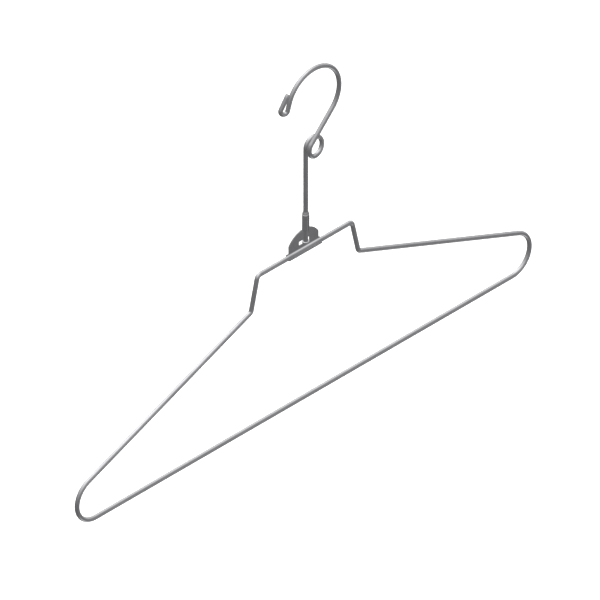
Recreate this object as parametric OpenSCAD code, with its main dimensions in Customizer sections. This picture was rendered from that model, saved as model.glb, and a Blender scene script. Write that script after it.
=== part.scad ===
// Wire clothes hanger with a swivel hook.
// X runs along the hanger, Y through it, Z up. The origin is where the line of a
// clothes rail's top crosses the swivel axis, inside the crown of the hook.

/* [Wire] */
// Diameter of the wire of the frame and of the hook
wire_d = 3.4; // [2.8:0.1:3.8]

/* [Frame] */
// Overall width of the frame
frame_w = 432; // [380:1:460]
// Height from the bottom bar to the raised top, centre to centre
frame_h = 121.5; // [110:0.5:135]
// Width of the raised top between its sharp corners
crown_w = 89; // [70:1:110]
// Lean of the short legs away from the vertical
leg_lean = 13; // [5:1:25]
// Slope of the shoulders
shoulder_slope = 22; // [15:0.5:26]
// Centreline radius of the round ends
end_r = 17; // [12:0.5:22]
// Centreline radius of the tight bends at the crown
bend_r = 3.2; // [2.5:0.1:6]

/* [Swivel bracket] */
// Thickness of the sheet
sheet_t = 0.8; // [0.6:0.1:1]
// Radius of the arched top of the plate
arch_r = 16; // [14:0.5:18]
// Height of the arched top above the wire's centre
arch_top = 15.9; // [14:0.1:16]
// Width of the plate between its upright sides
plate_w = 28; // [24:0.5:30]
// Length of the foot that is rolled round the wire
foot_w = 31; // [30:0.5:40]
// Angle that the foot wraps below the horizontal, from the back of the wire to its lower front
foot_wrap = 135; // [100:5:150]
// Width of the window
window_w = 10; // [8:0.2:12]
// Distance of the window's middle to the right of the swivel axis
window_shift = 0.5; // [0:0.1:1]
// Height of the window's lower edge above the wire's centre
window_low = 4.2; // [3:0.1:4.5]
// Height of the window's upper edge above the wire's centre
window_high = 7.3; // [7:0.1:8]
// Height of the bottom of the rolled tube above the wire's centre
tube_low = 16.2; // [16.1:0.1:17]
// Length of the rolled tube
tube_len = 12.9; // [10:0.1:16]
// Width of the tab that joins the tube to the plate
neck_w = 3; // [2:0.2:4]
// Width of the open seam along the front of the tube
seam_w = 0.3; // [0.2:0.05:0.5]

/* [Swivel fittings] */
// Distance of the swivel axis in front of the frame
axis_front = 0.95; // [0.8:0.05:1.1]
// Running clearance round the stem, on the radius
run_gap = 0.05; // [0.03:0.01:0.08]
// End play at the collar and at the washer
end_play = 0.2; // [0.1:0.05:0.4]
// Largest diameter of the collar
collar_d = 4.8; // [4.4:0.1:5.6]
// Height of the collar
collar_h = 1.9; // [1.5:0.1:4]
// Diameter of the washer
washer_d = 5.1; // [4.8:0.1:5.6]
// Thickness of the washer
washer_t = 1.2; // [0.8:0.1:1.6]
// Thickness of the peened end of the stem
peen_t = 0.8; // [0.5:0.1:1]

/* [Hook] */
// Height of the eye's centre above the raised top
eye_rise = 81.9; // [70:0.1:95]
// Centreline radius of the eye
eye_r = 6.9; // [6:0.1:9]
// Height of the hook arc's centre above the raised top
hook_rise = 123.3; // [118:0.1:130]
// Distance of the hook arc's centre from the swivel axis
hook_shift = 4.1; // [0:0.1:6]
// Centreline radius of the hook arc
hook_r = 23.9; // [22:0.1:26]
// Angle at which the hook arc ends, counted from +X
hook_end = 163; // [150:1:175]
// Straight length between the hook arc and the folded tip
tip_run = 5.4; // [3:0.1:5.8]
// Centreline radius of the fold at the tip
hem_r = 2.8; // [2.75:0.05:3.5]
// Angle that the fold turns
hem_turn = 194; // [180:1:194]
// Length of the folded-back end
hem_back = 11.5; // [5:0.5:12]
// Twist of the fold out of the hook's plane
hem_twist = 15; // [0:1:20]

/* [Hidden] */

wire_r = wire_d / 2;
bore_r = wire_r + run_gap;
steel = [0.56, 0.57, 0.59];
bright_steel = [0.66, 0.67, 0.69];
round_fn = 48;
// The wires are swept with this many sides, and a ring at every so many degrees of a bend.
wire_sides = 20;
end_step = 10;
tight_step = 15;
eps = 0.01;

// Heights: the rail bears on the inside of the hook at Z = 0.
rail_rise = hook_rise + sqrt(pow(hook_r - wire_r, 2) - pow(hook_shift, 2));
crown_z = -rail_rise;
bar_z = crown_z - frame_h;
eye_z = crown_z + eye_rise;
hook_z = crown_z + hook_rise;

// The frame stands behind the swivel axis. The plate runs on flat into the back of the tube,
// so its foot first passes round the back of the wire. foot_top is the angle above the
// horizontal at which it leaves the wire. The strand beyond the eye lies one wire in front.
frame_y = axis_front;
foot_top = acos((bore_r - frame_y) / wire_r);
strand_y = -wire_d - eps;

// Swivel fittings, from the window upwards.
washer_top = crown_z + window_high - end_play;
washer_low = washer_top - washer_t;
stem_low = washer_low - peen_t;
tube_top = crown_z + tube_low + tube_len;
collar_low = tube_top + end_play;

// Corners of the frame's right half as [x, z, bend radius], from the bottom bar upwards.
end_x = frame_w / 2 - wire_r - end_r;
shoulder_x = end_x + end_r * sin(shoulder_slope);
shoulder_z = bar_z + end_r + end_r * cos(shoulder_slope);
leg_drop = (crown_z - shoulder_z - (shoulder_x - crown_w / 2) * tan(shoulder_slope))
    / (1 - tan(leg_lean) * tan(shoulder_slope));
half_corners = [
    [shoulder_x + (shoulder_z - bar_z) / tan(shoulder_slope), bar_z, end_r],
    [crown_w / 2 + leg_drop * tan(leg_lean), crown_z - leg_drop, bend_r],
    [crown_w / 2, crown_z, bend_r]
];
loop_corners = concat(half_corners, [for (i = [2:-1:0]) let (c = half_corners[i]) [-c[0], c[1], c[2]]]);

// The strand is the inner tangent from the eye, turned clockwise, to the hook arc,
// turned counter-clockwise.
centres_len = norm([hook_shift - eye_r, hook_z - eye_z]);
centres_dir = atan2(hook_z - eye_z, hook_shift - eye_r);
strand_dir = centres_dir - asin((eye_r + hook_r) / centres_len);
strand_len = sqrt(pow(centres_len, 2) - pow(eye_r + hook_r, 2));
eye_turn = 450 - strand_dir;
eye_steps = 36;

function unit(v) = v / norm(v);
function polar(r, a) = r * [cos(a), sin(a)];
function flat(p) = [p[0], p[1]];
function in_plane(p, y) = [p[0], y, p[1]];

// A wire's route is a list of [point, heading]. A bend runs about centre c = [x, z] in the
// plane Y = y, from angle a0 through sweep degrees.
function bend(c, r, a0, sweep, y, step) =
    let (n = ceil(abs(sweep) / step))
    [for (i = [0:n])
        let (a = a0 + sweep * i / n)
        [in_plane(c + polar(r, a), y), in_plane(polar(sign(sweep), a + 90), 0)]];

// The bend at corner q between corners p and s.
function corner_bend(p, q, s, y, step) =
    let (
        back = unit(flat(p) - flat(q)),
        ahead = unit(flat(s) - flat(q)),
        half = acos(back * ahead) / 2,
        centre = flat(q) + unit(back + ahead) * q[2] / sin(half),
        start = flat(q) + back * q[2] / tan(half) - centre,
        turn = back[0] * ahead[1] - back[1] * ahead[0] < 0 ? 1 : -1
    )
    bend(centre, q[2], atan2(start[1], start[0]), turn * (180 - 2 * half), y, step);

// The wire's section at one stop of a route, square to its heading.
function ring(stop, r) =
    let (side = unit(cross(stop[1], [0, 1, 0])), up = cross(side, stop[1]))
    [for (k = [0:wire_sides - 1])
        let (a = 360 * k / wire_sides)
        stop[0] + r * (cos(a) * side + sin(a) * up)];

// Wire of radius r swept along a route, as a closed loop or with flat ends.
module swept_wire(route, r, closed) {
    n = len(route);
    points = [for (stop = route) each ring(stop, r)];
    skin = [for (i = [0:n - (closed ? 1 : 2)], k = [0:wire_sides - 1])
        let (
            a = i * wire_sides + k,
            b = i * wire_sides + (k + 1) % wire_sides,
            c = (a + wire_sides) % (n * wire_sides),
            d = (b + wire_sides) % (n * wire_sides)
        )
        each [[a, b, c], [b, d, c]]];
    first_cap = [for (k = [wire_sides - 1:-1:0]) k];
    last_cap = [for (k = [0:wire_sides - 1]) (n - 1) * wire_sides + k];
    polyhedron(points, closed ? skin : concat(skin, [first_cap, last_cap]));
}

module frame_wire() {
    n = len(loop_corners);
    route = [for (i = [0:n - 1])
        let (q = loop_corners[i])
        each corner_bend(loop_corners[(i + n - 1) % n], q, loop_corners[(i + 1) % n], frame_y,
            q[2] > bend_r ? end_step : tight_step)];
    color(steel) swept_wire(route, wire_r, true);
}

// A section across the frame's wire, [y, z] from its centre, drawn out along the wire.
module along_wire(length) {
    translate([-length / 2, frame_y, 0]) rotate([90, 0, 90]) linear_extrude(length) children();
}

// The section of the rolled foot.
module foot_section() {
    foot_end = 360 - foot_wrap;
    difference() {
        circle(r = wire_r + sheet_t, $fn = round_fn);
        circle(r = wire_r, $fn = round_fn);
        polygon([[0, 0], for (a = [foot_top, (foot_top + foot_end) / 2, foot_end]) polar(5 * wire_d, a)]);
    }
}

module plate_outline() {
    difference() {
        intersection() {
            translate([0, arch_top - arch_r]) circle(r = arch_r, $fn = 2 * round_fn);
            translate([-plate_w / 2, 0]) square([plate_w, arch_top + 1]);
        }
        translate([window_shift - window_w / 2, window_low]) square([window_w, window_high - window_low]);
    }
}

module swivel_bracket() {
    color(bright_steel)
        translate([0, 0, crown_z]) {
            difference() {
                translate([0, bore_r + sheet_t, 0])
                    rotate([90, 0, 0]) linear_extrude(sheet_t) plate_outline();
                along_wire(foot_w) circle(r = wire_r, $fn = round_fn);
            }
            along_wire(foot_w) foot_section();
            difference() {
                union() {
                    translate([0, 0, tube_low]) cylinder(r = bore_r + sheet_t, h = tube_len, $fn = round_fn);
                    translate([-neck_w / 2, bore_r, arch_top - 1])
                        cube([neck_w, sheet_t, tube_low - arch_top + 2]);
                }
                translate([0, 0, arch_top - 2]) cylinder(r = bore_r, h = tube_len + 5, $fn = round_fn);
                translate([-seam_w / 2, -bore_r - 2 * sheet_t, tube_low - 1])
                    cube([seam_w, bore_r + 2 * sheet_t, tube_len + 2]);
            }
        }
}

// The eye, from the stem to the strand. The wire moves one diameter sideways between the
// stretches where the turn passes over itself.
function eye_shift(turned) =
    let (t = min(1, max(0, (turned - eye_turn + 360) / (720 - eye_turn))))
    strand_y * t * t * (3 - 2 * t);
function eye_point(turned) = in_plane([eye_r, eye_z] + polar(eye_r, 180 - turned), eye_shift(turned));
function eye_route() = [for (i = [0:eye_steps])
    let (turned = eye_turn * i / eye_steps)
    [eye_point(turned), unit(eye_point(turned + 0.1) - eye_point(turned - 0.1))]];

// The folded tip, before its twist: it starts at the end of the hook arc.
function hem_route() =
    let (
        start = [hook_shift, hook_z] + polar(hook_r, hook_end) + polar(tip_run, hook_end + 90),
        fold = bend(start + polar(hem_r, hook_end), hem_r, hook_end - 180, -hem_turn, strand_y, tight_step),
        stop = fold[len(fold) - 1]
    )
    concat(fold, [[stop[0] + hem_back * stop[1], stop[1]]]);

// Turns a vector about the tip's own line by the twist.
function twist(v) =
    let (along = in_plane(polar(1, hook_end + 90), 0), out = in_plane(polar(1, hook_end), 0))
    (v * along) * along + (v * out) * (cos(hem_twist) * out + sin(hem_twist) * [0, 1, 0])
    + v[1] * (cos(hem_twist) * [0, 1, 0] - sin(hem_twist) * out);

module hook_wire() {
    arc = bend([hook_shift, hook_z], hook_r, strand_dir - 90, hook_end - strand_dir + 90, strand_y, end_step);
    fixed = arc[len(arc) - 1][0];
    tip = [for (stop = hem_route()) [fixed + twist(stop[0] - fixed), twist(stop[1])]];
    color(steel) {
        translate([0, 0, stem_low]) cylinder(r = wire_r, h = eye_z - stem_low, $fn = round_fn);
        translate([0, 0, stem_low])
            cylinder(r1 = wire_r, r2 = 0.9 * washer_d / 2, h = peen_t, $fn = round_fn);
        swept_wire(concat([[[0, 0, eye_z - 1], [0, 0, 1]]], eye_route(), arc, tip), wire_r - eps, false);
    }
}

module stem_collar() {
    color(bright_steel)
        translate([0, 0, collar_low])
            difference() {
                cylinder(d1 = collar_d, r2 = wire_r + 0.2, h = collar_h, $fn = round_fn);
                translate([0, 0, -1]) cylinder(r = wire_r, h = collar_h + 2, $fn = round_fn);
            }
}

module retaining_washer() {
    color(bright_steel)
        translate([0, 0, washer_low])
            difference() {
                cylinder(d = washer_d, h = washer_t, $fn = round_fn);
                translate([0, 0, -1]) cylinder(r = wire_r, h = washer_t + 2, $fn = round_fn);
            }
}

frame_wire();
swivel_bracket();
hook_wire();
stem_collar();
retaining_washer();
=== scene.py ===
"""A bent-wire clothes hanger with a swivel hook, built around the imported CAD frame.

The two wires are swept tubes, the bracket is one sheet that is cut flat and then folded and
rolled, and the collar and washer are turned. Lengths are in metres, angles in degrees.
"""
import math
from collections import namedtuple

import bmesh
import bpy
from mathutils import Matrix, Vector, noise
from mathutils.geometry import delaunay_2d_cdt


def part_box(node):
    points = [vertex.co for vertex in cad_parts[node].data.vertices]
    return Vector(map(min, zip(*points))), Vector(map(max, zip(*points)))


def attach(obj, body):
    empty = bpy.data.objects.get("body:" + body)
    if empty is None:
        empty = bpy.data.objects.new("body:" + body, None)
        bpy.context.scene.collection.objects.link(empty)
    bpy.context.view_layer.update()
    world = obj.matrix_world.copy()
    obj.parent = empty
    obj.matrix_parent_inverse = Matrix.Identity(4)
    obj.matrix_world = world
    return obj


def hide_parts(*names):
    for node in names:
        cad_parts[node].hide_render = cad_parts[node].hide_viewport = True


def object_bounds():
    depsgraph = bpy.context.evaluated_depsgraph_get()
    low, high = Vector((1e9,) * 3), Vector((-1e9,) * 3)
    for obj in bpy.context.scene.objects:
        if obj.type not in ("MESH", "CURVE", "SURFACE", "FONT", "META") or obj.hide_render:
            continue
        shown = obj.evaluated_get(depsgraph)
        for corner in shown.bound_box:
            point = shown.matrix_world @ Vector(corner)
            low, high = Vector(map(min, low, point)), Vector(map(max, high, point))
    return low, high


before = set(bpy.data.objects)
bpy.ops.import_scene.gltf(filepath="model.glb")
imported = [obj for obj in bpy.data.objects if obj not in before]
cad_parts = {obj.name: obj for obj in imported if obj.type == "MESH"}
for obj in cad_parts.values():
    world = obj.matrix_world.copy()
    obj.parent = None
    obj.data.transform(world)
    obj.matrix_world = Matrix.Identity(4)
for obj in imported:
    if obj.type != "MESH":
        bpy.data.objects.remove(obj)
cad_low, cad_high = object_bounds()

MM = 0.001
Y_AXIS = Vector((0, 1, 0))
Z_AXIS = Vector((0, 0, 1))

# ---------------------------------------------------------------- sizes from the frame
wire_low, wire_high = (Vector(corner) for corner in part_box("frame_wire"))
bracket_high = Vector(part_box("swivel_bracket")[1])
collar_low, collar_high = (Vector(corner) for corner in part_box("stem_collar"))
washer_low, washer_high = (Vector(corner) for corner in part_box("retaining_washer"))

WIRE_R = (wire_high.y - wire_low.y) / 2
FRAME_Y = (wire_high.y + wire_low.y) / 2
HALF_WIDTH = wire_high.x - WIRE_R
CROWN_Z = wire_high.z - WIRE_R
BAR_Z = wire_low.z + WIRE_R
STEM_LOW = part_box("hook_wire")[0][2]

# Driving dimensions of the wires, as in part.scad
CROWN_HALF = 44.5 * MM
LEG_LEAN = 13
SHOULDER_SLOPE = 22
END_R = 17 * MM
BEND_R = 3.2 * MM
EYE_RISE = 81.9 * MM
EYE_R = 6.9 * MM
HOOK_RISE = 123.3 * MM
HOOK_SHIFT = 4.1 * MM
HOOK_R = 23.9 * MM
HOOK_END = 163
TIP_RUN = 5.4 * MM
HEM_R = 2.8 * MM
HEM_TURN = 194
HEM_BACK = 11.5 * MM
HEM_TWIST = 15
STRAND_Y = -2 * WIRE_R - 0.01 * MM
EYE_Z = CROWN_Z + EYE_RISE
HOOK_Z = CROWN_Z + HOOK_RISE

# Driving dimensions of the sheet, as in part.scad
SHEET = 0.8 * MM
RUN_GAP = 0.05 * MM
BORE_R = WIRE_R + RUN_GAP
FOOT_HALF = bracket_high.x
FOOT_WRAP = 135
PLATE_HALF = 14 * MM
ARCH_R = 16 * MM
ARCH_TOP = 15.9 * MM
WINDOW_HALF = 5.0 * MM
WINDOW_SHIFT = 0.5 * MM
WINDOW_LOW = 4.2 * MM
WINDOW_HIGH = 7.3 * MM
NECK_HALF = 1.5 * MM
TUBE_LOW = 16.2 * MM
TUBE_TOP = bracket_high.z - CROWN_Z
SEAM_HALF = 0.15 * MM


# ---------------------------------------------------------------- routes of the wires
# A route is a list of stops. The bend share flattens the wire in its tight bends, and the
# scale thickens or thins it.
Stop = namedtuple("Stop", "point heading bend scale", defaults=(0.0, 1.0))

# The peened end: height above the stem's lower end, and radius
PEEN = [
    (0.00 * MM, 1.25 * MM),
    (0.03 * MM, 1.62 * MM),
    (0.10 * MM, 1.94 * MM),
    (0.22 * MM, 2.18 * MM),
    (0.38 * MM, 2.28 * MM),
    (0.56 * MM, 2.29 * MM),
    (0.70 * MM, 2.24 * MM),
    (0.78 * MM, 2.12 * MM),
    (0.80 * MM, 1.70 * MM),
]
# Distance from the cut end of the wire, and scale: the edge is broken
CUT_END = [(0.16 * MM, 1.0), (0.07 * MM, 0.97), (0.0, 0.88)]
# Bend share of the frame's sharp corners, of its round ends and of the eye
CORNER_SHARE, END_SHARE, EYE_SHARE = 1.0, 0.2, 0.4
# A bend share of 1 flattens the wire by this much in the bend's plane, and widens it across
FLATTEN, WIDEN = 0.045, 0.02


def polar(length, angle):
    """A vector in the XZ plane, its angle counted from +X towards +Z."""
    a = math.radians(angle)
    return Vector((length * math.cos(a), 0, length * math.sin(a)))


def smooth(t):
    t = min(1.0, max(0.0, t))
    return t * t * (3 - 2 * t)


def arc(centre, radius, start, turn, step=3.0, share=1.0):
    """Stops along a bend about centre, from the start angle through the turn."""
    count = max(2, math.ceil(abs(turn) / step))
    stops = []
    for i in range(count + 1):
        angle = start + turn * i / count
        heading = polar(math.copysign(1, turn), angle + 90)
        bend = share * math.sin(math.pi * i / count)
        stops.append(Stop(centre + polar(radius, angle), heading, bend))
    return stops


def straight(a, b, spacing=2.5 * MM):
    """Stops strictly between two points."""
    count = max(1, round((b - a).length / spacing))
    heading = (b - a).normalized()
    return [Stop(a.lerp(b, i / count), heading) for i in range(1, count)]


def joined(*runs):
    """One route from several, with straight wire between them."""
    route = list(runs[0])
    for run in runs[1:]:
        route += straight(route[-1].point, run[0].point)
        route += run
    return route


def corner(before, at, after, radius):
    """The bend that rounds a corner of the frame."""
    back, ahead = (before - at).normalized(), (after - at).normalized()
    half = back.angle(ahead) / 2
    centre = at + (back + ahead).normalized() * radius / math.sin(half)
    start = at + back * radius / math.tan(half) - centre
    turn = math.copysign(180 - math.degrees(2 * half), back.z * ahead.x - back.x * ahead.z)
    share = CORNER_SHARE if radius == BEND_R else END_SHARE
    return arc(centre, radius, math.degrees(math.atan2(start.z, start.x)), turn, share=share)


def frame_route():
    """Round the closed frame from the middle of the raised top."""
    tan_slope, tan_lean = (math.tan(math.radians(a)) for a in (SHOULDER_SLOPE, LEG_LEAN))
    shoulder = Vector((HALF_WIDTH - END_R, 0, BAR_Z + END_R)) + polar(END_R, 90 - SHOULDER_SLOPE)
    drop = CROWN_Z - shoulder.z - (shoulder.x - CROWN_HALF) * tan_slope
    drop /= 1 - tan_lean * tan_slope
    right = [
        (Vector((CROWN_HALF, 0, CROWN_Z)), BEND_R),
        (Vector((CROWN_HALF + drop * tan_lean, 0, CROWN_Z - drop)), BEND_R),
        (Vector((shoulder.x + (shoulder.z - BAR_Z) / tan_slope, 0, BAR_Z)), END_R),
    ]
    corners = right + [(Vector((-p.x, 0, p.z)), r) for p, r in reversed(right)]
    points = [p for p, _ in corners]
    bends = [
        corner(points[i - 1], p, points[(i + 1) % len(points)], r)
        for i, (p, r) in enumerate(corners)
    ]
    middle = [Stop(Vector((0, 0, CROWN_Z)), Vector((1, 0, 0)))]
    route = joined(middle, *bends, middle)[:-1]
    return [stop._replace(point=stop.point + Y_AXIS * FRAME_Y) for stop in route]


def eye_stops(turn_total, step=4.0):
    """The eye: the wire moves one diameter sideways where the turn doesn't pass over itself."""
    def point(turned):
        shift = STRAND_Y * smooth((turned - turn_total + 360) / (720 - turn_total))
        return Vector((EYE_R, shift, EYE_Z)) + polar(EYE_R, 180 - turned)

    count, nudge = math.ceil(turn_total / step), 0.1
    turns = [turn_total * i / count for i in range(count + 1)]
    return [
        Stop(point(t), (point(t + nudge) - point(t - nudge)).normalized(), EYE_SHARE)
        for t in turns
    ]


def hook_route():
    """Up the stem, round the eye, along the strand, over the hook and back along the folded tip."""
    between = Vector((HOOK_SHIFT - EYE_R, 0, HOOK_Z - EYE_Z))
    strand = math.degrees(math.atan2(between.z, between.x))
    strand -= math.degrees(math.asin((EYE_R + HOOK_R) / between.length))
    centre = Vector((HOOK_SHIFT, STRAND_Y, HOOK_Z))
    over = arc(centre, HOOK_R, strand - 90, HOOK_END - strand + 90, share=0.0)
    end, along, out = over[-1].point, polar(1, HOOK_END + 90), polar(1, HOOK_END)
    fold_centre = end + along * TIP_RUN + out * HEM_R
    fold = arc(fold_centre, HEM_R, HOOK_END - 180, -HEM_TURN, step=5.0)
    last, back = fold[-1].point, fold[-1].heading
    cut = [Stop(last + back * (HEM_BACK - d), back, 0.0, scale) for d, scale in CUT_END]
    tip = joined(fold, cut)
    twist = Matrix.Rotation(math.radians(HEM_TWIST), 3, out.cross(Y_AXIS))
    tip = [s._replace(point=end + twist @ (s.point - end), heading=twist @ s.heading) for s in tip]
    foot = [Stop(Vector((0, 0, STEM_LOW + z)), Z_AXIS, 0.0, r / WIRE_R) for z, r in PEEN]
    upright = 90
    return joined(foot, eye_stops(360 + upright - strand), over, tip)


# ---------------------------------------------------------------- meshes
# Edges sharper than this are shaded as edges, in degrees
SHARP_ANGLE = 50
# Rubbed places, and places where parts meet that are darkened by grime and painted shade, as [centre,
# reach, facing or None, rub, grime and shade]
MARKS = [
    [Vector((HOOK_SHIFT, STRAND_Y, 0)), 11 * MM, -Z_AXIS, 1.0, 0.0],
    [Vector((0, STRAND_Y / 2, EYE_Z)), 2.5 * MM, None, 0.0, 0.35],
    [Vector((0, 0, CROWN_Z + TUBE_LOW)), 2.2 * MM, None, 0.0, 0.2],
    [Vector((0, 0, washer_high.z)), 1.9 * MM, None, 0.3, 0.2],
    [Vector((-PLATE_HALF, FRAME_Y, CROWN_Z)), 3 * MM, None, 0.0, 0.25],
    [Vector((PLATE_HALF, FRAME_Y, CROWN_Z)), 3 * MM, None, 0.0, 0.25],
]
# A mark that faces one way still shows this far past a right angle to it
FACING_SPREAD = 0.2
# Rub along the top of the bottom bar, which also lightens the bar's top as a painted sheen; how much of
# it is patchy, and patches per metre
BAR_RUB_SHEEN, BAR_PATCHY, BAR_PATCHES = 0.5, 0.4, 40


def marks_at(point, normal, bend):
    """How rubbed, darkened and strained the metal is at a point, each from 0 to 1. The rub is wear with
    a painted sheen on the bottom bar's top; the darkening is grime with painted shade where parts meet.
    """
    rub_and_sheen, grime_and_shade = 0.0, 0.0
    for centre, reach, facing, rub_here, grime_and_shade_here in MARKS:
        near = math.exp(-((point - centre).length / reach) ** 2)
        if facing is not None:
            near *= smooth(normal.dot(facing) + FACING_SPREAD)
        rub_and_sheen, grime_and_shade = rub_and_sheen + rub_here * near, grime_and_shade + grime_and_shade_here * near
    # The bottom bar's top is lighter: wear from rubbing plus a painted sheen.
    if point.z < BAR_Z + WIRE_R * 1.5:
        patchy = 1 - BAR_PATCHY + BAR_PATCHY * noise.noise(point * BAR_PATCHES)
        rub_and_sheen += BAR_RUB_SHEEN * smooth(normal.z) * patchy
    return min(1.0, max(0.0, rub_and_sheen)), min(1.0, grime_and_shade), bend


def to_object(name, mesh_bm, drawn, bend=None, edge_shade=None):
    """A piece from a bmesh.

    For each point, drawn is its place in the straight stock, bend its bend share, and the last
    list, where given, the least darkening that it carries: painted shade on the sheet's sheared edges.
    """
    bmesh.ops.recalc_face_normals(mesh_bm, faces=mesh_bm.faces)
    mesh_bm.normal_update()
    mesh = bpy.data.meshes.new(name)
    marks = []
    for v in mesh_bm.verts:
        rub_and_sheen, grime_and_shade, strain = marks_at(v.co, v.normal, bend[v.index] if bend else 0.0)
        marks.append((rub_and_sheen, max(grime_and_shade, edge_shade[v.index]) if edge_shade else grime_and_shade, strain))
    mesh_bm.to_mesh(mesh)
    mesh_bm.free()
    stock = mesh.attributes.new("drawn", "FLOAT_VECTOR", "POINT")
    stock.data.foreach_set("vector", [c for p in drawn for c in p])
    worn = mesh.attributes.new("marks", "FLOAT_VECTOR", "POINT")
    worn.data.foreach_set("vector", [c for p in marks for c in p])
    mesh.shade_smooth()
    mesh.set_sharp_from_angle(angle=math.radians(SHARP_ANGLE))
    piece = bpy.data.objects.new(name, mesh)
    bpy.context.scene.collection.objects.link(piece)
    return piece


def rings_to_bmesh(rings, closed, caps):
    """Skins rings of points. closed joins the last to the first, and caps fills the two ends."""
    bm = bmesh.new()
    rows = [[bm.verts.new(p) for p in ring] for ring in rings]
    bm.verts.index_update()
    sides = len(rings[0])
    pairs = list(zip(rows, rows[1:])) + ([(rows[-1], rows[0])] if closed else [])
    for low, high in pairs:
        for k in range(sides):
            n = (k + 1) % sides
            bm.faces.new((low[k], low[n], high[n], high[k]))
    if caps:
        bm.faces.new(list(reversed(rows[0])))
        bm.faces.new(rows[-1])
    return bm


def swept_wire(name, route, closed, sides=40):
    """Round wire along a route, flattened in its bends.

    Round a closed wire the drawn lines run both ways from the first stop, so that they meet.
    """
    gone = [0.0]
    for a, b in zip(route, route[1:]):
        gone.append(gone[-1] + (b.point - a.point).length)
    if closed:
        whole = gone[-1] + (route[0].point - route[-1].point).length
        gone = [min(length, whole - length) for length in gone]
    rings, drawn, bends = [], [], []
    for stop, along in zip(route, gone):
        side = stop.heading.cross(Y_AXIS).normalized()
        up = side.cross(stop.heading)
        ring = []
        for k in range(sides):
            a = 2 * math.pi * k / sides
            across, over = math.cos(a), math.sin(a)
            reach = WIRE_R * stop.scale
            offset = side * across * (1 - FLATTEN * stop.bend) + up * over * (1 + WIDEN * stop.bend)
            ring.append(stop.point + offset * reach)
            drawn.append((along, across * WIRE_R, over * WIRE_R))
            bends.append(stop.bend)
        rings.append(ring)
    bm = rings_to_bmesh(rings, closed, not closed)
    return to_object(name, bm, drawn, bends)


def turned(name, profile, base, sides=96):
    """A turned ring: profile is a closed outline of (radius, height) above base."""
    rings, drawn, gone = [], [], 0.0
    for i, (radius, height) in enumerate(profile):
        if i:
            gone += math.dist(profile[i], profile[i - 1])
        angles = [2 * math.pi * k / sides for k in range(sides)]
        ring = [Vector((radius * math.cos(a), radius * math.sin(a), base + height)) for a in angles]
        rings.append(ring)
        drawn += [(p.x, p.y, gone) for p in ring]
    return to_object(name, rings_to_bmesh(rings, True, False), drawn)


def rounded(points, step=15.0):
    """A closed outline from corners (u, v, radius), each rounded where its radius isn't 0."""
    out = []
    for i, (u, v, radius) in enumerate(points):
        at = Vector((u, v))
        if not radius:
            out.append(at)
            continue
        back = (Vector(points[i - 1][:2]) - at).normalized()
        ahead = (Vector(points[(i + 1) % len(points)][:2]) - at).normalized()
        half = back.angle(ahead) / 2
        centre = at + (back + ahead).normalized() * radius / math.sin(half)
        start = at + back * radius / math.tan(half) - centre
        turn = math.pi - 2 * half
        turn = math.copysign(turn, back.y * ahead.x - back.x * ahead.y)
        count = max(2, math.ceil(math.degrees(abs(turn)) / step))
        for k in range(count + 1):
            spin = Matrix.Rotation(turn * k / count, 2)
            out.append(centre + spin @ start)
    return out


def dense(outline, spacing):
    """The outline with its long edges divided."""
    out = []
    for i, p in enumerate(outline):
        q = outline[(i + 1) % len(outline)]
        count = max(1, math.ceil((q - p).length / spacing))
        out += [p.lerp(q, k / count) for k in range(count)]
    return out


# ---------------------------------------------------------------- the bracket's sheet
# The plate is flat, level with the tube's back. Low down it folds back on a small radius and
# then passes round the wire, so the blank's length is counted along the middle of the sheet.
PLATE_Y = BORE_R + SHEET / 2
NEUTRAL_R = WIRE_R + SHEET / 2
TUBE_NEUTRAL_R = BORE_R + SHEET / 2
FOLD_R = 1.0 * MM
FOLD_Y = PLATE_Y + FOLD_R
FOLD_Z = math.sqrt((NEUTRAL_R + FOLD_R) ** 2 - (FOLD_Y - FRAME_Y) ** 2)
LEAVE_ANGLE = math.atan2(FOLD_Z, FOLD_Y - FRAME_Y)
FOLD_LEN = FOLD_R * LEAVE_ANGLE
BACK_V = FOLD_Z - FOLD_LEN - NEUTRAL_R * LEAVE_ANGLE
BLANK_LOW = BACK_V - NEUTRAL_R * math.radians(FOOT_WRAP)
TUBE_HALF = math.pi * TUBE_NEUTRAL_R - SEAM_HALF
FOOT_HIGH = FOLD_Z - 0.1 * MM
NOTCH = 0.5 * MM
NOTCH_LOW = ARCH_TOP - 0.5 * MM
# Below this share of the full roll the tab counts as flat
BARELY_ROLLED = 0.01
EDGE_BREAK = 0.12 * MM
EDGE_STEPS = 3
ARCH_STEPS = 16
# Triangles of the blank below this area, in square millimetres, lie along a straight edge
LEAST_AREA = 1e-5
# Points of the blank this close together, in millimetres, are one
MERGE_WITHIN = 1e-5
# Painted shade on the sheared edges beside the sheet's faces: how much they are darkened, through the
# grime channel
SHEAR_EDGE_SHADE = 0.6
# Resistance welds that hold the foot to the wire, as dents in its back
WELD_U = 9.5 * MM
WELD_V = BACK_V - 0.3 * MM
WELD_R = 1.1 * MM
WELD_DEPTH = 0.16 * MM
WELD_FADE = 1.6
# The outer edge of the tube's top is rounded over
MOUTH_REACH = 0.45 * MM
MOUTH_DEPTH = 0.38 * MM
# Spacing of the blank's points: round its rim, round the window, then (along the wire, upwards)
# over the foot, the tube, the tube's mouth and the plate
RIM_STEP, WINDOW_STEP = 0.34 * MM, 0.6 * MM
FOOT_GRID = (0.5 * MM, 0.24 * MM)
TUBE_GRID = (0.36 * MM, 0.7 * MM)
MOUTH_GRID = (0.36 * MM, 0.12 * MM)
PLATE_GRID = (1.0 * MM, 1.0 * MM)
# Inner points keep this far from the rim, and the plate's grid this far below the arch's top
MARGIN = 0.3 * MM
NECK_CLEAR = 2.2 * MM


def arch_v(u):
    return ARCH_TOP - ARCH_R + math.sqrt(ARCH_R ** 2 - u ** 2)


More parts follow.
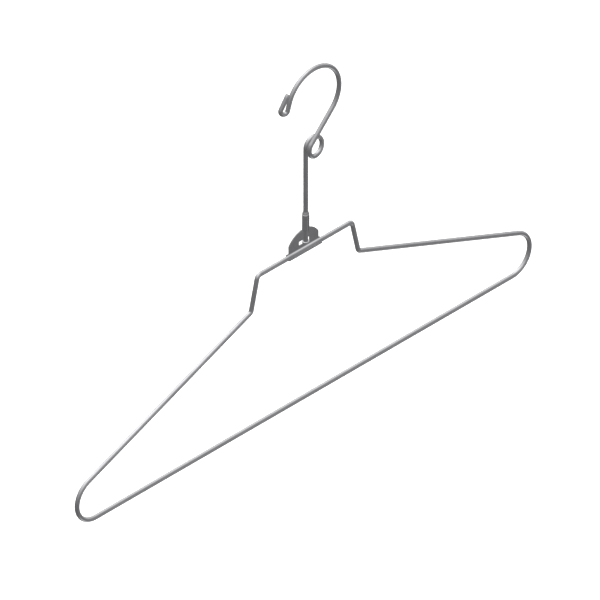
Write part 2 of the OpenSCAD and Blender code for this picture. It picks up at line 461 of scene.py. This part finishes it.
def blank_outline():
    """The flat blank's outline, right half first, from the foot's lower edge up to the tube."""
    arch_start, arch_end = PLATE_HALF, NECK_HALF + NOTCH
    arch = [arch_start + (arch_end - arch_start) * k / ARCH_STEPS for k in range(ARCH_STEPS + 1)]
    right = [
        (FOOT_HALF, BLANK_LOW, 0.7 * MM),
        (FOOT_HALF, FOOT_HIGH, 0.5 * MM),
        (PLATE_HALF, FOOT_HIGH, 0.3 * MM),
        *[(u, arch_v(u), 1.2 * MM if u == arch_start else 0.0) for u in arch],
        (NECK_HALF + NOTCH, NOTCH_LOW, NOTCH * 0.45),
        (NECK_HALF, NOTCH_LOW, NOTCH * 0.45),
        (NECK_HALF, TUBE_LOW, 0.25 * MM),
        (TUBE_HALF, TUBE_LOW, 0.3 * MM),
        (TUBE_HALF, TUBE_TOP, 0.3 * MM),
    ]
    left = [(-u, v, r) for u, v, r in reversed(right)]
    return rounded(right + left)


def window_outline():
    corners = [(1, WINDOW_LOW), (1, WINDOW_HIGH), (-1, WINDOW_HIGH), (-1, WINDOW_LOW)]
    return rounded([(WINDOW_SHIFT + x * WINDOW_HALF, v, 0.3 * MM) for x, v in corners])


def inside(p, outline):
    """Whether a point lies inside a closed outline."""
    crossings = 0
    for i, b in enumerate(outline):
        a = outline[i - 1]
        if (a.y > p.y) != (b.y > p.y) and p.x < a.x + (b.x - a.x) * (p.y - a.y) / (b.y - a.y):
            crossings += 1
    return crossings % 2 == 1


def lattice():
    """Inner points of the blank, close together across each bend."""
    def grid(half, low, high, steps):
        across, up = max(1, round(half / steps[0])), max(1, round((high - low) / steps[1]))
        return [
            Vector((half * i / across, low + (high - low) * j / up))
            for i in range(-across, across + 1)
            for j in range(up + 1)
        ]

    def clear_of_window(p):
        beside = abs(p.x - WINDOW_SHIFT) >= WINDOW_HALF + MARGIN
        return beside or not WINDOW_LOW - MARGIN < p.y < WINDOW_HIGH + MARGIN

    foot = grid(FOOT_HALF - MARGIN, BLANK_LOW + MARGIN, FOOT_HIGH - MARGIN, FOOT_GRID)
    tube = grid(TUBE_HALF - MARGIN, TUBE_LOW + MARGIN, TUBE_TOP - 2 * MARGIN, TUBE_GRID)
    mouth = grid(TUBE_HALF - MARGIN, TUBE_TOP - 1.4 * MARGIN, TUBE_TOP - 0.6 * MARGIN, MOUTH_GRID)
    plate = grid(PLATE_HALF - MARGIN, FOOT_HIGH + MARGIN, ARCH_TOP - NECK_CLEAR, PLATE_GRID)
    plate = [p for p in plate if p.y < arch_v(abs(p.x)) - MARGIN and clear_of_window(p)]
    return foot + plate + tube + mouth


def folded(u, v, w):
    """A point of the flat blank, w through its thickness, where it lies on the finished bracket."""
    if v < FOLD_Z - FOLD_LEN:
        angle, reach = (v - BACK_V) / NEUTRAL_R, WIRE_R + w
        return Vector((u, FRAME_Y + reach * math.cos(angle), CROWN_Z + reach * math.sin(angle)))
    if v < FOLD_Z:
        angle, reach = (FOLD_Z - v) / FOLD_R, FOLD_R + SHEET / 2 - w
        return Vector((u, FOLD_Y - reach * math.cos(angle), CROWN_Z + FOLD_Z - reach * math.sin(angle)))
    rolled = smooth((v - NOTCH_LOW) / (TUBE_LOW - NOTCH_LOW)) if v > NOTCH_LOW else 0.0
    if v < (ARCH_TOP + TUBE_LOW) / 2 and abs(u) > NECK_HALF + NOTCH / 2:
        rolled = 0.0
    if rolled < BARELY_ROLLED:
        return Vector((u, PLATE_Y + w - SHEET / 2, CROWN_Z + v))
    bend_r = TUBE_NEUTRAL_R / rolled
    angle, reach = u / bend_r, bend_r + w - SHEET / 2
    return Vector((reach * math.sin(angle), PLATE_Y - bend_r + reach * math.cos(angle), CROWN_Z + v))


def inset(outline, depth):
    """An anticlockwise outline moved to the left of its run by depth, point for point."""
    out = []
    for i, p in enumerate(outline):
        behind = (p - outline[i - 1]).normalized()
        ahead = (outline[(i + 1) % len(outline)] - p).normalized()
        along = (behind + ahead).normalized()
        out.append(p + Vector((-along.y, along.x)) * depth / along.dot(ahead))
    return out


def rim_rows():
    """Rows round a sheared edge from the sheet's front to its back: (share out, depth)."""
    turns = [math.radians(90 * k / EDGE_STEPS) for k in range(1, EDGE_STEPS + 1)]
    front = [(math.sin(a), EDGE_BREAK * (1 - math.cos(a))) for a in turns]
    return front + [(share, SHEET - w) for share, w in reversed(front)]


def make_bracket(name):
    """Cuts the blank flat, gives it thickness and rounded edges, then folds and rolls it."""
    outer, window = dense(blank_outline(), RIM_STEP), dense(window_outline(), WINDOW_STEP)
    face_outer, face_window = inset(outer, EDGE_BREAK), inset(window, -EDGE_BREAK)
    rim, face_rim = outer + window, face_outer + face_window
    loops = [range(len(outer)), range(len(outer), len(rim))]
    edges = [(loop[i - 1], loop[i]) for loop in loops for i in range(len(loop))]
    points = [p / MM for p in face_rim + lattice()]
    verts, _, faces, origins, *_ = delaunay_2d_cdt(points, edges, [], 0, MERGE_WITHIN, True)
    at_point = {origin: k for k, sources in enumerate(origins) for origin in sources}
    bm = bmesh.new()
    blank, edge_shade = [], []

    def add(p, w, edge_shade_level=0.0):
        blank.append((p.x, p.y, w))
        edge_shade.append(edge_shade_level)
        return bm.verts.new((p.x, p.y, w))

    front, back = ([add(p * MM, w) for p in verts] for w in (0.0, SHEET))
    for face in faces:
        a, b, c = (verts[i] for i in face)
        middle, area = (a + b + c) * MM / 3, abs((b - a).cross(c - a)) / 2
        if area > LEAST_AREA and inside(middle, face_outer) and not inside(middle, face_window):
            bm.faces.new([front[i] for i in face])
            bm.faces.new([back[i] for i in reversed(face)])
    rows = [[front[at_point[k]] for k in range(len(rim))]]
    # The rows round the sheared edges are darkened with painted shade.
    for share, w in rim_rows():
        rows.append([add(q.lerp(p, share), w, SHEAR_EDGE_SHADE) for p, q in zip(rim, face_rim)])
    rows.append([back[at_point[k]] for k in range(len(rim))])
    for low, high in zip(rows, rows[1:]):
        for i, k in edges:
            bm.faces.new((low[i], low[k], high[k], high[i]))
    for v, (u, along, w) in zip(bm.verts, blank):
        weld = math.hypot(abs(u) - WELD_U, along - WELD_V) / WELD_R
        dent = WELD_DEPTH * smooth(WELD_FADE - weld) * smooth(w / SHEET)
        over = min(1.0, max(0.0, 1 - (TUBE_TOP - along) / MOUTH_REACH))
        mouth = MOUTH_DEPTH * (1 - math.sqrt(1 - over ** 2)) * smooth(w / SHEET)
        v.co = folded(u, along, w - dent - mouth)
    bm.verts.index_update()
    return to_object(name, bm, blank, edge_shade=edge_shade)


# ---------------------------------------------------------------- materials
class Nodes:
    """Short calls for building one material's nodes."""

    def __init__(self, name):
        self.material = bpy.data.materials.new(name)
        self.material.use_nodes = True
        self.tree = self.material.node_tree
        self.shader = self.tree.nodes["Principled BSDF"]

    def add(self, kind, settings=None, **inputs):
        node = self.tree.nodes.new(kind)
        for key, value in (settings or {}).items():
            setattr(node, key, value)
        for key, value in inputs.items():
            self.feed(node.inputs[key.replace("_", " ")], value)
        return node

    def feed(self, socket, value):
        if isinstance(value, bpy.types.NodeSocket):
            self.tree.links.new(value, socket)
        else:
            socket.default_value = value

    def math(self, operation, a, b, clamp=False):
        node = self.add("ShaderNodeMath", {"operation": operation, "use_clamp": clamp})
        self.feed(node.inputs[0], a)
        self.feed(node.inputs[1], b)
        return node.outputs[0]

    def mix(self, factor, a, b):
        node = self.add("ShaderNodeMix", {"data_type": "RGBA"})
        self.feed(node.inputs[0], factor)
        self.feed(node.inputs[6], a)
        self.feed(node.inputs[7], b)
        return node.outputs[2]

    def noise(self, vector, scale, detail=3.0, rough=0.55):
        node = self.add("ShaderNodeTexNoise", Scale=scale, Detail=detail, Roughness=rough)
        self.feed(node.inputs["Vector"], vector)
        return node.outputs["Fac"]

    def ranged(self, value, low, high, to_low, to_high):
        node = self.add("ShaderNodeMapRange", {"clamp": True})
        for socket, number in zip(node.inputs[:5], (value, low, high, to_low, to_high)):
            self.feed(socket, number)
        return node.outputs[0]


def plated_steel(name, grain, light, dark, roughness, line_depth):
    """Satin plated steel: drawn or turned lines, cloudy plating, rubbed places with a painted sheen on
    the bottom bar's top, and dark grime that is also painted shade at joints and sheared edges.
    """
    n = Nodes(name)
    stock = n.add("ShaderNodeAttribute", {"attribute_name": "drawn"}).outputs["Vector"]
    marks = n.add("ShaderNodeAttribute", {"attribute_name": "marks"}).outputs["Vector"]
    split = n.add("ShaderNodeSeparateXYZ", Vector=marks)
    rub_and_sheen, grime_and_shade, strain = split.outputs
    place = n.add("ShaderNodeTexCoord").outputs["Object"]

    lines_at = n.add("ShaderNodeMapping", Vector=stock, Scale=grain).outputs[0]
    lines = n.noise(lines_at, 1.0, 4.0, 0.65)
    scratches = n.ranged(n.noise(lines_at, 0.37, 2.0, 0.5), 0.62, 0.72, 0.0, 1.0)
    cloud = n.noise(place, 45.0, 3.0, 0.6)
    mottle = n.noise(place, 420.0, 4.0, 0.6)
    pits = n.add("ShaderNodeTexVoronoi", {"feature": "DISTANCE_TO_EDGE"}, Vector=place, Scale=2600.0)
    pitted = n.ranged(pits.outputs["Distance"], 0.0, 0.12, 1.0, 0.0)
    peel = n.noise(place, 2400.0, 2.0, 0.5)

    tone = n.ranged(n.math("ADD", n.math("MULTIPLY", cloud, 0.6), n.math("MULTIPLY", mottle, 0.4)),
                    0.35, 0.65, 0.0, 1.0)
    tone = n.math("ADD", tone, n.math("MULTIPLY", n.math("SUBTRACT", lines, 0.5), 0.8), True)
    colour = n.mix(tone, dark, light)
    # Rubbed places are lighter; on the bottom bar's top this is partly a painted sheen.
    colour = n.mix(n.math("MULTIPLY", rub_and_sheen, 0.6), colour, (0.80, 0.80, 0.81, 1))
    colour = n.mix(n.math("MULTIPLY", scratches, 0.18), colour, (0.80, 0.80, 0.81, 1))
    dirt_and_shade = n.math("MULTIPLY", grime_and_shade, n.ranged(mottle, 0.3, 0.6, 0.35, 0.8), True)
    # Dark mottled grime, which where parts meet and on the sheet's sheared edges is painted shade.
    colour = n.mix(dirt_and_shade, colour, (0.10, 0.095, 0.09, 1))
    n.feed(n.shader.inputs["Base Color"], colour)

    rough = n.ranged(tone, 0.0, 1.0, roughness + 0.05, roughness - 0.04)
    rough = n.math("SUBTRACT", rough, n.math("MULTIPLY", rub_and_sheen, 0.1))
    rough = n.math("ADD", rough, n.math("MULTIPLY", strain, 0.08))
    rough = n.math("ADD", rough, n.math("MULTIPLY", dirt_and_shade, 0.3), True)
    n.feed(n.shader.inputs["Roughness"], rough)
    n.shader.inputs["Metallic"].default_value = 1.0

    height = n.math("ADD", n.math("MULTIPLY", lines, 1.0), n.math("MULTIPLY", scratches, -0.6))
    height = n.math("ADD", height, n.math("MULTIPLY", n.math("MULTIPLY", peel, strain), 1.6))
    height = n.math("ADD", height, n.math("MULTIPLY", n.math("MULTIPLY", pitted, mottle), -0.25))
    bump = n.add("ShaderNodeBump", Height=height, Strength=0.55, Distance=line_depth)
    n.feed(n.shader.inputs["Normal"], bump.outputs[0])
    return n.material


def floor_material():
    """Plain pale studio floor with a faint mottle."""
    n = Nodes("pale_floor")
    place = n.add("ShaderNodeTexCoord").outputs["Object"]
    faint = n.noise(place, 3.0, 3.0, 0.5)
    n.feed(n.shader.inputs["Base Color"], n.mix(faint, (0.90, 0.90, 0.90, 1), (0.93, 0.93, 0.93, 1)))
    n.shader.inputs["Roughness"].default_value = 0.9
    return n.material


# Lines per metre along and across the drawn wire, the rolled sheet and the turned fittings
WIRE_GRAIN = (55.0, 5200.0, 5200.0)
SHEET_GRAIN = (90.0, 5200.0, 5200.0)
TURNED_GRAIN = (150.0, 150.0, 9000.0)
# The plating's light and dark tones
LIGHT, DARK = (0.72, 0.72, 0.745, 1), (0.60, 0.60, 0.622, 1)
SHEET_LIGHT, SHEET_DARK = (0.68, 0.68, 0.71, 1), (0.56, 0.56, 0.585, 1)
wire_steel = plated_steel("wire_steel", WIRE_GRAIN, LIGHT, DARK, 0.18, 0.02 * MM)
sheet_steel = plated_steel("sheet_steel", SHEET_GRAIN, SHEET_LIGHT, SHEET_DARK, 0.19, 0.012 * MM)
turned_steel = plated_steel("turned_steel", TURNED_GRAIN, LIGHT, DARK, 0.2, 0.02 * MM)

# ---------------------------------------------------------------- pieces
frame_piece = swept_wire("bent_frame", frame_route(), True)
hook_piece = swept_wire("bent_hook", hook_route(), False)
bracket_piece = make_bracket("folded_bracket")

collar_h, collar_r = collar_high.z - collar_low.z, (collar_high.x - collar_low.x) / 2
COLLAR_PROFILE = [
    (WIRE_R, 0.10 * MM),
    (WIRE_R + 0.08 * MM, 0.0),
    (collar_r - 0.30 * MM, 0.0),
    (collar_r - 0.12 * MM, 0.06 * MM),
    (collar_r - 0.02 * MM, 0.20 * MM),
    (collar_r - 0.02 * MM, 0.36 * MM),
    (collar_r - 0.10 * MM, 0.60 * MM),
    (WIRE_R + 0.24 * MM, collar_h - 0.42 * MM),
    (WIRE_R + 0.10 * MM, collar_h - 0.16 * MM),
    (WIRE_R + 0.05 * MM, collar_h),
    (WIRE_R, collar_h),
]
collar_piece = turned("pressed_collar", COLLAR_PROFILE, collar_low.z)

washer_t, washer_r = washer_high.z - washer_low.z, (washer_high.x - washer_low.x) / 2
WASHER_PROFILE = [
    (WIRE_R, 0.06 * MM),
    (WIRE_R + 0.06 * MM, 0.0),
    (washer_r - 0.12 * MM, 0.0),
    (washer_r - 0.03 * MM, 0.04 * MM),
    (washer_r, 0.14 * MM),
    (washer_r, washer_t - 0.42 * MM),
    (washer_r - 0.05 * MM, washer_t - 0.24 * MM),
    (washer_r - 0.18 * MM, washer_t - 0.09 * MM),
    (washer_r - 0.36 * MM, washer_t - 0.02 * MM),
    (washer_r - 0.50 * MM, washer_t),
    (WIRE_R + 0.06 * MM, washer_t),
    (WIRE_R, washer_t - 0.06 * MM),
]
washer_piece = turned("stem_washer", WASHER_PROFILE, washer_low.z)

frame_piece.data.materials.append(wire_steel)
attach(frame_piece, "frame")
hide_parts("frame_wire")

bracket_piece.data.materials.append(sheet_steel)
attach(bracket_piece, "frame")
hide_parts("swivel_bracket")

hook_piece.data.materials.append(wire_steel)
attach(hook_piece, "hook")
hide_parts("hook_wire")

collar_piece.data.materials.append(turned_steel)
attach(collar_piece, "hook")
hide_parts("stem_collar")

washer_piece.data.materials.append(turned_steel)
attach(washer_piece, "hook")
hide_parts("retaining_washer")

# The metal mirrors the studio but not the neighbouring pieces.
for piece in (frame_piece, bracket_piece, hook_piece, collar_piece, washer_piece):
    piece.visible_glossy = False

# ---------------------------------------------------------------- floor and light
FLOOR_DROP = 350 * MM
FLOOR_HALF = 12.0
floor_mesh = bpy.data.meshes.new("studio_floor")
floor_z = cad_low.z - FLOOR_DROP
floor_mesh.from_pydata(
    [(x * FLOOR_HALF, y * FLOOR_HALF, floor_z) for x, y in ((-1, -1), (1, -1), (1, 1), (-1, 1))],
    [], [(0, 1, 2, 3)],
)
floor = bpy.data.objects.new("studio_floor", floor_mesh)
floor.data.materials.append(floor_material())
floor.visible_glossy = False
bpy.context.scene.collection.objects.link(floor)


# Soft light from all round, as (strength, tightness, azimuth from +X, elevation) of each
# source: one high at the back, a wide one overhead in front on the left, one low on the right,
# a weak one in front, and a small bounce from below.
AMBIENT = 0.17
SOURCES = [
    (1.3, 4, 80, 50),
    (0.6, 3, -145, 60),
    (0.45, 8, 5, 10),
    (0.3, 20, -65, -15),
    (0.65, 25, -40, -70),
]


def studio_world():
    """The soft sources as a smooth world, which the camera itself sees as plain white."""
    world = bpy.data.worlds.new("soft_studio")
    world.use_nodes = True
    bpy.context.scene.world = world
    tree = world.node_tree

    def math_node(operation, value, *constants):
        node = tree.nodes.new("ShaderNodeMath")
        node.operation = operation
        tree.links.new(value, node.inputs[0])
        for socket, constant in zip(node.inputs[1:], constants):
            if isinstance(constant, bpy.types.NodeSocket):
                tree.links.new(constant, socket)
            else:
                socket.default_value = constant
        return node.outputs[0]

    direction = tree.nodes.new("ShaderNodeTexCoord").outputs["Generated"]
    total = AMBIENT
    for strength, tightness, round_z, above in SOURCES:
        level = polar(1, above)
        towards = Matrix.Rotation(math.radians(round_z), 3, "Z") @ level
        dot = tree.nodes.new("ShaderNodeVectorMath")
        dot.operation = "DOT_PRODUCT"
        dot.inputs[1].default_value = towards
        tree.links.new(direction, dot.inputs[0])
        fall = math_node("MULTIPLY_ADD", dot.outputs["Value"], tightness, -tightness)
        total = math_node("MULTIPLY_ADD", math_node("EXPONENT", fall), strength, total)
    background = tree.nodes["Background"]
    tree.links.new(total, background.inputs["Color"])
    plain = tree.nodes.new("ShaderNodeBackground")
    plain.inputs["Color"].default_value = (1, 1, 1, 1)
    plain.inputs["Strength"].default_value = 1.05
    seen = tree.nodes.new("ShaderNodeLightPath").outputs["Is Camera Ray"]
    choose = tree.nodes.new("ShaderNodeMixShader")
    tree.links.new(seen, choose.inputs[0])
    tree.links.new(background.outputs[0], choose.inputs[1])
    tree.links.new(plain.outputs[0], choose.inputs[2])
    tree.links.new(choose.outputs[0], tree.nodes["World Output"].inputs["Surface"])


studio_world()

# A very wide soft sun from above evens out the floor. The metal doesn't mirror it.
sun_data = bpy.data.lights.new("floor_light", "SUN")
sun_data.energy = 3.2
sun_data.angle = math.radians(150)
sun = bpy.data.objects.new("floor_light", sun_data)
sun.location = (0, 0, 2)
sun.visible_glossy = False
bpy.context.scene.collection.objects.link(sun)
bpy.context.scene.view_settings.view_transform = "Standard"

# ---------------------------------------------------------------- camera
AZIMUTH = -44.8
ELEVATION = 35.43
PICTURE_SPAN = 402.5 * MM
LENS_MM = 1700.0
SENSOR_MM = 36.0
target = Vector((-4.45 * MM, FRAME_Y, CROWN_Z - 39.95 * MM))
azimuth, elevation = math.radians(AZIMUTH), math.radians(ELEVATION)
back = Vector((
    math.sin(azimuth) * math.cos(elevation),
    -math.cos(azimuth) * math.cos(elevation),
    math.sin(elevation),
))
camera_data = bpy.data.cameras.new("camera")
camera_data.lens = LENS_MM
camera_data.sensor_width = SENSOR_MM
camera_data.clip_end = 60.0
camera = bpy.data.objects.new("camera", camera_data)
camera.location = target + back * (PICTURE_SPAN * LENS_MM / SENSOR_MM)
camera.rotation_euler = (-back).to_track_quat("-Z", "Y").to_euler()
bpy.context.scene.collection.objects.link(camera)
bpy.context.scene.camera = camera
